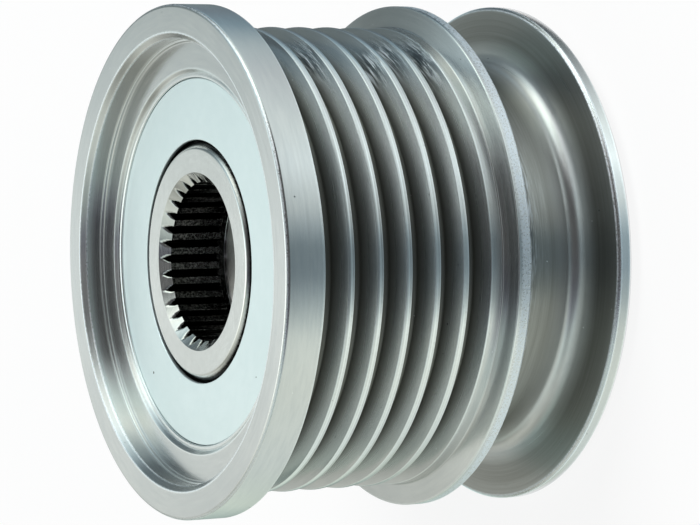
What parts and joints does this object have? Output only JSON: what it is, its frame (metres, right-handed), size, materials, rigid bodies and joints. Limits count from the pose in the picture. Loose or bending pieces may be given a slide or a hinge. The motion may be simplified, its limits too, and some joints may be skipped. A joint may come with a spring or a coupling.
{
  "type": "freewheel belt pulley",
  "caption": "Turned steel pulley with parallel belt ribs, a round rear groove and a dished face, freewheeling on a splined, threaded hub through needle bearings and a roller clutch.",
  "frame": {"origin": "on the axis, at the level of the hub's rear end, on which the part stands", "axes": "+Z along the axis, out of the dished front face with the splined socket; +X through the first roller of the clutch"},
  "size_m": [0.0586, 0.0586, 0.0445],
  "materials": {
    "zinc_plated_steel": "turned and bright zinc plated",
    "passivated_plate": "smooth, pale blue passivated zinc",
    "turned_steel": "fine turned",
    "bearing_steel": "hardened and ground",
    "spring_steel": "rolled strip",
    "seal_rubber": "moulded",
    "cage_polymer": "moulded"
  },
  "bodies": {
    "hub_body": {"hub": "turned_steel", "clutch_inner_ring": "bearing_steel", "clutch_cage": "cage_polymer", "front_thrust_washer": "bearing_steel", "rear_thrust_washer": "bearing_steel", "clutch_spring_1": "spring_steel", "clutch_spring_2": "spring_steel", "clutch_spring_3": "spring_steel", "clutch_spring_4": "spring_steel", "clutch_spring_5": "spring_steel", "clutch_spring_6": "spring_steel", "clutch_spring_7": "spring_steel", "clutch_spring_8": "spring_steel"},
    "pulley_body": {"pulley": "zinc_plated_steel", "bearing_sleeve": "bearing_steel", "front_cover_plate": "passivated_plate", "rear_cover_plate": "passivated_plate", "front_seal": "seal_rubber", "rear_seal": "seal_rubber"},
    "front_cage_body": {"front_needle_cage": "cage_polymer"},
    "rear_cage_body": {"rear_needle_cage": "cage_polymer"},
    "front_needle_01_body": {"front_needle_01": "bearing_steel"},
    "front_needle_02_body": {"front_needle_02": "bearing_steel"},
    "front_needle_03_body": {"front_needle_03": "bearing_steel"},
    "front_needle_04_body": {"front_needle_04": "bearing_steel"},
    "front_needle_05_body": {"front_needle_05": "bearing_steel"},
    "front_needle_06_body": {"front_needle_06": "bearing_steel"},
    "front_needle_07_body": {"front_needle_07": "bearing_steel"},
    "front_needle_08_body": {"front_needle_08": "bearing_steel"},
    "front_needle_09_body": {"front_needle_09": "bearing_steel"},
    "front_needle_10_body": {"front_needle_10": "bearing_steel"},
    "front_needle_11_body": {"front_needle_11": "bearing_steel"},
    "front_needle_12_body": {"front_needle_12": "bearing_steel"},
    "front_needle_13_body": {"front_needle_13": "bearing_steel"},
    "front_needle_14_body": {"front_needle_14": "bearing_steel"},
    "rear_needle_01_body": {"rear_needle_01": "bearing_steel"},
    "rear_needle_02_body": {"rear_needle_02": "bearing_steel"},
    "rear_needle_03_body": {"rear_needle_03": "bearing_steel"},
    "rear_needle_04_body": {"rear_needle_04": "bearing_steel"},
    "rear_needle_05_body": {"rear_needle_05": "bearing_steel"},
    "rear_needle_06_body": {"rear_needle_06": "bearing_steel"},
    "rear_needle_07_body": {"rear_needle_07": "bearing_steel"},
    "rear_needle_08_body": {"rear_needle_08": "bearing_steel"},
    "rear_needle_09_body": {"rear_needle_09": "bearing_steel"},
    "rear_needle_10_body": {"rear_needle_10": "bearing_steel"},
    "rear_needle_11_body": {"rear_needle_11": "bearing_steel"},
    "rear_needle_12_body": {"rear_needle_12": "bearing_steel"},
    "rear_needle_13_body": {"rear_needle_13": "bearing_steel"},
    "rear_needle_14_body": {"rear_needle_14": "bearing_steel"},
    "clutch_roller_1_body": {"clutch_roller_1": "bearing_steel"},
    "clutch_roller_2_body": {"clutch_roller_2": "bearing_steel"},
    "clutch_roller_3_body": {"clutch_roller_3": "bearing_steel"},
    "clutch_roller_4_body": {"clutch_roller_4": "bearing_steel"},
    "clutch_roller_5_body": {"clutch_roller_5": "bearing_steel"},
    "clutch_roller_6_body": {"clutch_roller_6": "bearing_steel"},
    "clutch_roller_7_body": {"clutch_roller_7": "bearing_steel"},
    "clutch_roller_8_body": {"clutch_roller_8": "bearing_steel"}
  },
  "joints": [
    {"name": "pulley_spin", "type": "hinge", "parent": "hub_body", "child": "pulley_body", "pos_m": [0, 0, 0.02117], "axis": [0, 0, 1], "continuous": true},
    {"name": "front_cage_orbit", "type": "hinge", "parent": "hub_body", "child": "front_cage_body", "pos_m": [0, 0, 0.03024], "axis": [0, 0, 1], "continuous": true},
    {"name": "front_needle_01_spin", "type": "hinge", "parent": "front_cage_body", "child": "front_needle_01_body", "pos_m": [0.0152, 0, 0.03024], "axis": [0, 0, 1], "continuous": true},
    {"name": "front_needle_02_spin", "type": "hinge", "parent": "front_cage_body", "child": "front_needle_02_body", "pos_m": [0.0137, 0.0066, 0.03024], "axis": [0, 0, 1], "continuous": true},
    {"name": "front_needle_03_spin", "type": "hinge", "parent": "front_cage_body", "child": "front_needle_03_body", "pos_m": [0.00948, 0.01188, 0.03024], "axis": [0, 0, 1], "continuous": true},
    {"name": "front_needle_04_spin", "type": "hinge", "parent": "front_cage_body", "child": "front_needle_04_body", "pos_m": [0.00338, 0.01482, 0.03024], "axis": [0, 0, 1], "continuous": true},
    {"name": "front_needle_05_spin", "type": "hinge", "parent": "front_cage_body", "child": "front_needle_05_body", "pos_m": [-0.00338, 0.01482, 0.03024], "axis": [0, 0, 1], "continuous": true},
    {"name": "front_needle_06_spin", "type": "hinge", "parent": "front_cage_body", "child": "front_needle_06_body", "pos_m": [-0.00948, 0.01188, 0.03024], "axis": [0, 0, 1], "continuous": true},
    {"name": "front_needle_07_spin", "type": "hinge", "parent": "front_cage_body", "child": "front_needle_07_body", "pos_m": [-0.0137, 0.0066, 0.03024], "axis": [0, 0, 1], "continuous": true},
    {"name": "front_needle_08_spin", "type": "hinge", "parent": "front_cage_body", "child": "front_needle_08_body", "pos_m": [-0.0152, 0, 0.03024], "axis": [0, 0, 1], "continuous": true},
    {"name": "front_needle_09_spin", "type": "hinge", "parent": "front_cage_body", "child": "front_needle_09_body", "pos_m": [-0.0137, -0.0066, 0.03024], "axis": [0, 0, 1], "continuous": true},
    {"name": "front_needle_10_spin", "type": "hinge", "parent": "front_cage_body", "child": "front_needle_10_body", "pos_m": [-0.00948, -0.01188, 0.03024], "axis": [0, 0, 1], "continuous": true},
    {"name": "front_needle_11_spin", "type": "hinge", "parent": "front_cage_body", "child": "front_needle_11_body", "pos_m": [-0.00338, -0.01482, 0.03024], "axis": [0, 0, 1], "continuous": true},
    {"name": "front_needle_12_spin", "type": "hinge", "parent": "front_cage_body", "child": "front_needle_12_body", "pos_m": [0.00338, -0.01482, 0.03024], "axis": [0, 0, 1], "continuous": true},
    {"name": "front_needle_13_spin", "type": "hinge", "parent": "front_cage_body", "child": "front_needle_13_body", "pos_m": [0.00948, -0.01188, 0.03024], "axis": [0, 0, 1], "continuous": true},
    {"name": "front_needle_14_spin", "type": "hinge", "parent": "front_cage_body", "child": "front_needle_14_body", "pos_m": [0.0137, -0.0066, 0.03024], "axis": [0, 0, 1], "continuous": true},
    {"name": "rear_cage_orbit", "type": "hinge", "parent": "hub_body", "child": "rear_cage_body", "pos_m": [0, 0, 0.0121], "axis": [0, 0, 1], "continuous": true},
    {"name": "rear_needle_01_spin", "type": "hinge", "parent": "rear_cage_body", "child": "rear_needle_01_body", "pos_m": [0.0152, 0, 0.0121], "axis": [0, 0, 1], "continuous": true},
    {"name": "rear_needle_02_spin", "type": "hinge", "parent": "rear_cage_body", "child": "rear_needle_02_body", "pos_m": [0.0137, 0.0066, 0.0121], "axis": [0, 0, 1], "continuous": true},
    {"name": "rear_needle_03_spin", "type": "hinge", "parent": "rear_cage_body", "child": "rear_needle_03_body", "pos_m": [0.00948, 0.01188, 0.0121], "axis": [0, 0, 1], "continuous": true},
    {"name": "rear_needle_04_spin", "type": "hinge", "parent": "rear_cage_body", "child": "rear_needle_04_body", "pos_m": [0.00338, 0.01482, 0.0121], "axis": [0, 0, 1], "continuous": true},
    {"name": "rear_needle_05_spin", "type": "hinge", "parent": "rear_cage_body", "child": "rear_needle_05_body", "pos_m": [-0.00338, 0.01482, 0.0121], "axis": [0, 0, 1], "continuous": true},
    {"name": "rear_needle_06_spin", "type": "hinge", "parent": "rear_cage_body", "child": "rear_needle_06_body", "pos_m": [-0.00948, 0.01188, 0.0121], "axis": [0, 0, 1], "continuous": true},
    {"name": "rear_needle_07_spin", "type": "hinge", "parent": "rear_cage_body", "child": "rear_needle_07_body", "pos_m": [-0.0137, 0.0066, 0.0121], "axis": [0, 0, 1], "continuous": true},
    {"name": "rear_needle_08_spin", "type": "hinge", "parent": "rear_cage_body", "child": "rear_needle_08_body", "pos_m": [-0.0152, 0, 0.0121], "axis": [0, 0, 1], "continuous": true},
    {"name": "rear_needle_09_spin", "type": "hinge", "parent": "rear_cage_body", "child": "rear_needle_09_body", "pos_m": [-0.0137, -0.0066, 0.0121], "axis": [0, 0, 1], "continuous": true},
    {"name": "rear_needle_10_spin", "type": "hinge", "parent": "rear_cage_body", "child": "rear_needle_10_body", "pos_m": [-0.00948, -0.01188, 0.0121], "axis": [0, 0, 1], "continuous": true},
    {"name": "rear_needle_11_spin", "type": "hinge", "parent": "rear_cage_body", "child": "rear_needle_11_body", "pos_m": [-0.00338, -0.01482, 0.0121], "axis": [0, 0, 1], "continuous": true},
    {"name": "rear_needle_12_spin", "type": "hinge", "parent": "rear_cage_body", "child": "rear_needle_12_body", "pos_m": [0.00338, -0.01482, 0.0121], "axis": [0, 0, 1], "continuous": true},
    {"name": "rear_needle_13_spin", "type": "hinge", "parent": "rear_cage_body", "child": "rear_needle_13_body", "pos_m": [0.00948, -0.01188, 0.0121], "axis": [0, 0, 1], "continuous": true},
    {"name": "rear_needle_14_spin", "type": "hinge", "parent": "rear_cage_body", "child": "rear_needle_14_body", "pos_m": [0.0137, -0.0066, 0.0121], "axis": [0, 0, 1], "continuous": true},
    {"name": "clutch_roller_1_spin", "type": "hinge", "parent": "hub_body", "child": "clutch_roller_1_body", "pos_m": [0.015, 0, 0.02117], "axis": [0, 0, 1], "continuous": true},
    {"name": "clutch_roller_2_spin", "type": "hinge", "parent": "hub_body", "child": "clutch_roller_2_body", "pos_m": [0.01061, 0.01061, 0.02117], "axis": [0, 0, 1], "continuous": true},
    {"name": "clutch_roller_3_spin", "type": "hinge", "parent": "hub_body", "child": "clutch_roller_3_body", "pos_m": [0, 0.015, 0.02117], "axis": [0, 0, 1], "continuous": true},
    {"name": "clutch_roller_4_spin", "type": "hinge", "parent": "hub_body", "child": "clutch_roller_4_body", "pos_m": [-0.01061, 0.01061, 0.02117], "axis": [0, 0, 1], "continuous": true},
    {"name": "clutch_roller_5_spin", "type": "hinge", "parent": "hub_body", "child": "clutch_roller_5_body", "pos_m": [-0.015, 0, 0.02117], "axis": [0, 0, 1], "continuous": true},
    {"name": "clutch_roller_6_spin", "type": "hinge", "parent": "hub_body", "child": "clutch_roller_6_body", "pos_m": [-0.01061, -0.01061, 0.02117], "axis": [0, 0, 1], "continuous": true},
    {"name": "clutch_roller_7_spin", "type": "hinge", "parent": "hub_body", "child": "clutch_roller_7_body", "pos_m": [0, -0.015, 0.02117], "axis": [0, 0, 1], "continuous": true},
    {"name": "clutch_roller_8_spin", "type": "hinge", "parent": "hub_body", "child": "clutch_roller_8_body", "pos_m": [0.01061, -0.01061, 0.02117], "axis": [0, 0, 1], "continuous": true}
  ],
  "couplings": [
    {"joint": "front_cage_orbit", "follows": "pulley_spin", "ratio": 0.55263},
    {"joint": "front_needle_01_spin", "follows": "pulley_spin", "ratio": 5.7814},
    {"joint": "front_needle_02_spin", "follows": "pulley_spin", "ratio": 5.7814},
    {"joint": "front_needle_03_spin", "follows": "pulley_spin", "ratio": 5.7814},
    {"joint": "front_needle_04_spin", "follows": "pulley_spin", "ratio": 5.7814},
    {"joint": "front_needle_05_spin", "follows": "pulley_spin", "ratio": 5.7814},
    {"joint": "front_needle_06_spin", "follows": "pulley_spin", "ratio": 5.7814},
    {"joint": "front_needle_07_spin", "follows": "pulley_spin", "ratio": 5.7814},
    {"joint": "front_needle_08_spin", "follows": "pulley_spin", "ratio": 5.7814},
    {"joint": "front_needle_09_spin", "follows": "pulley_spin", "ratio": 5.7814},
    {"joint": "front_needle_10_spin", "follows": "pulley_spin", "ratio": 5.7814},
    {"joint": "front_needle_11_spin", "follows": "pulley_spin", "ratio": 5.7814},
    {"joint": "front_needle_12_spin", "follows": "pulley_spin", "ratio": 5.7814},
    {"joint": "front_needle_13_spin", "follows": "pulley_spin", "ratio": 5.7814},
    {"joint": "front_needle_14_spin", "follows": "pulley_spin", "ratio": 5.7814},
    {"joint": "rear_cage_orbit", "follows": "pulley_spin", "ratio": 0.55263},
    {"joint": "rear_needle_01_spin", "follows": "pulley_spin", "ratio": 5.7814},
    {"joint": "rear_needle_02_spin", "follows": "pulley_spin", "ratio": 5.7814},
    {"joint": "rear_needle_03_spin", "follows": "pulley_spin", "ratio": 5.7814},
    {"joint": "rear_needle_04_spin", "follows": "pulley_spin", "ratio": 5.7814},
    {"joint": "rear_needle_05_spin", "follows": "pulley_spin", "ratio": 5.7814},
    {"joint": "rear_needle_06_spin", "follows": "pulley_spin", "ratio": 5.7814},
    {"joint": "rear_needle_07_spin", "follows": "pulley_spin", "ratio": 5.7814},
    {"joint": "rear_needle_08_spin", "follows": "pulley_spin", "ratio": 5.7814},
    {"joint": "rear_needle_09_spin", "follows": "pulley_spin", "ratio": 5.7814},
    {"joint": "rear_needle_10_spin", "follows": "pulley_spin", "ratio": 5.7814},
    {"joint": "rear_needle_11_spin", "follows": "pulley_spin", "ratio": 5.7814},
    {"joint": "rear_needle_12_spin", "follows": "pulley_spin", "ratio": 5.7814},
    {"joint": "rear_needle_13_spin", "follows": "pulley_spin", "ratio": 5.7814},
    {"joint": "rear_needle_14_spin", "follows": "pulley_spin", "ratio": 5.7814},
    {"joint": "clutch_roller_1_spin", "follows": "pulley_spin", "ratio": 11.2},
    {"joint": "clutch_roller_2_spin", "follows": "pulley_spin", "ratio": 11.2},
    {"joint": "clutch_roller_3_spin", "follows": "pulley_spin", "ratio": 11.2},
    {"joint": "clutch_roller_4_spin", "follows": "pulley_spin", "ratio": 11.2},
    {"joint": "clutch_roller_5_spin", "follows": "pulley_spin", "ratio": 11.2},
    {"joint": "clutch_roller_6_spin", "follows": "pulley_spin", "ratio": 11.2},
    {"joint": "clutch_roller_7_spin", "follows": "pulley_spin", "ratio": 11.2},
    {"joint": "clutch_roller_8_spin", "follows": "pulley_spin", "ratio": 11.2}
  ]
}
